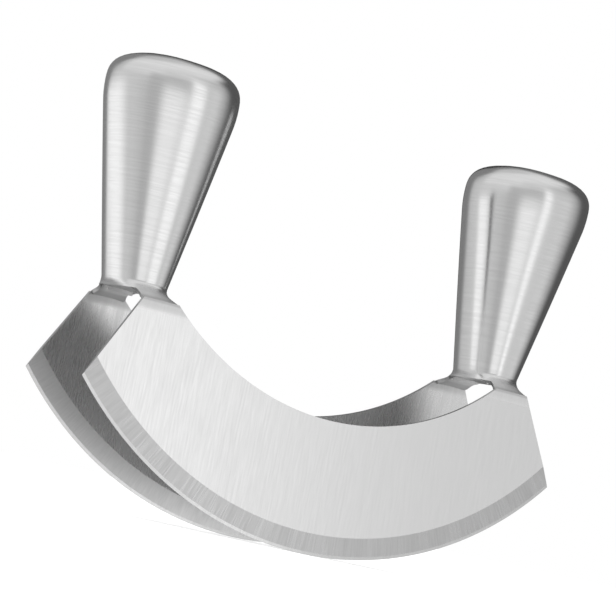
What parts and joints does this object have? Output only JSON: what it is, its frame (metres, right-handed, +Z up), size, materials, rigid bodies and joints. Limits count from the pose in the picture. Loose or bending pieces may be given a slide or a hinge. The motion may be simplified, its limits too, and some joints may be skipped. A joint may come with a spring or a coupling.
{
  "type": "mezzaluna",
  "caption": "Rocking herb chopper with parallel crescent blades welded below upright hollow handles.",
  "frame": {"origin": "on the board, below the middle of the tool, which stands on its cutting edges", "axes": "+X along the blades to the right, +Y across the blades to the back, +Z up towards the handles"},
  "size_m": [0.1848, 0.0444, 0.1435],
  "materials": {
    "blade_steel": "fine satin, with a ground bevel",
    "handle_steel": "satin, brushed round the handle"
  },
  "bodies": {
    "root": {"front_blade": "blade_steel", "rear_blade": "blade_steel", "left_handle_front_shell": "handle_steel", "left_handle_rear_shell": "handle_steel", "left_handle_cap": "handle_steel", "left_handle_base_plate": "handle_steel", "right_handle_front_shell": "handle_steel", "right_handle_rear_shell": "handle_steel", "right_handle_cap": "handle_steel", "right_handle_base_plate": "handle_steel"}
  },
  "joints": []
}
